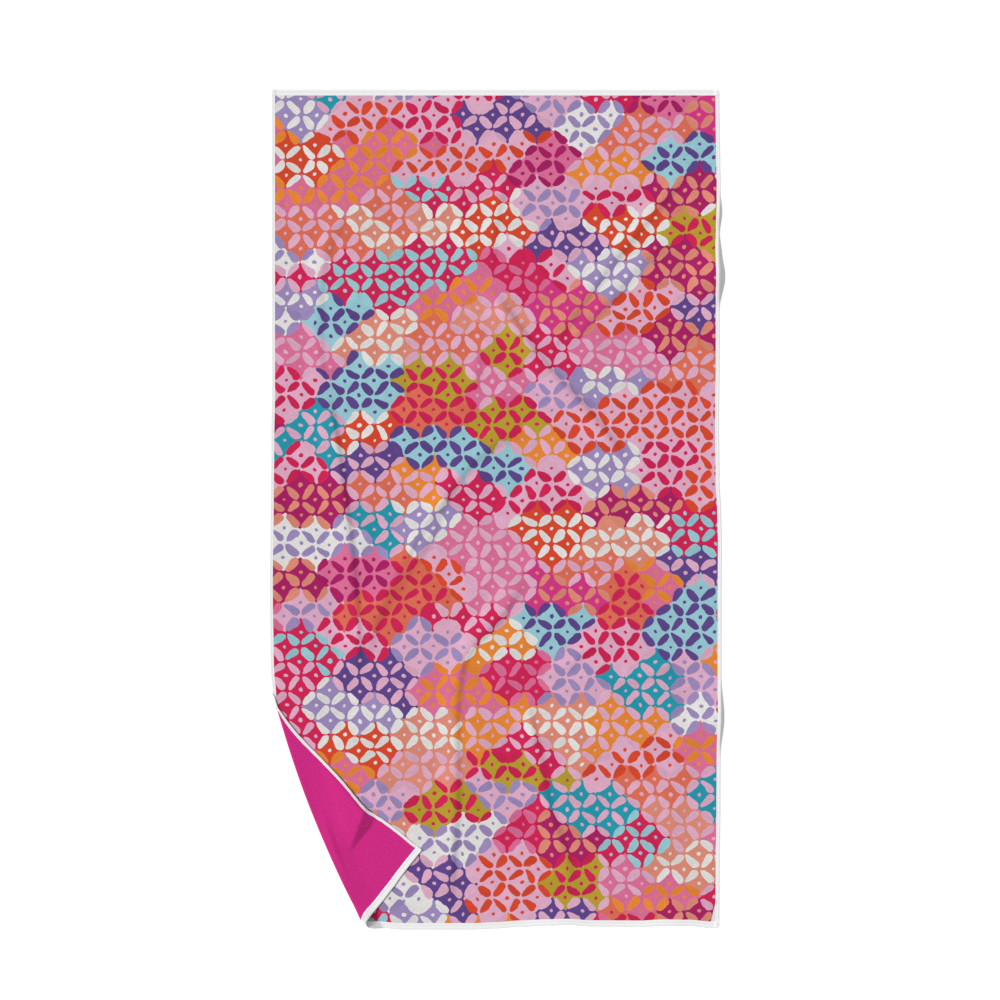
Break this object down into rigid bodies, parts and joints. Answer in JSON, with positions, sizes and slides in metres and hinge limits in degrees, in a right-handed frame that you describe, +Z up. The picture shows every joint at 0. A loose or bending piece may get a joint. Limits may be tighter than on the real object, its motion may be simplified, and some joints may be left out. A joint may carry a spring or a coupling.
{
  "type": "microfibre beach towel with a turned corner",
  "caption": "Rectangular printed beach towel spread flat, one lower corner turned over to show the plain back, with narrow turned hems.",
  "frame": {"origin": "centre of the towel's bounding box in plan, on the surface that it lies on", "axes": "+X to the towel's right seen from above, +Y to its upper end, +Z up out of the printed face"},
  "size_m": [0.8708, 1.61, 0.0134],
  "materials": {
    "cloth": "soft matt microfibre, many-coloured print on the face, plain magenta back, white turned hem"
  },
  "bodies": {
    "root": {"towel": "cloth"}
  },
  "joints": []
}
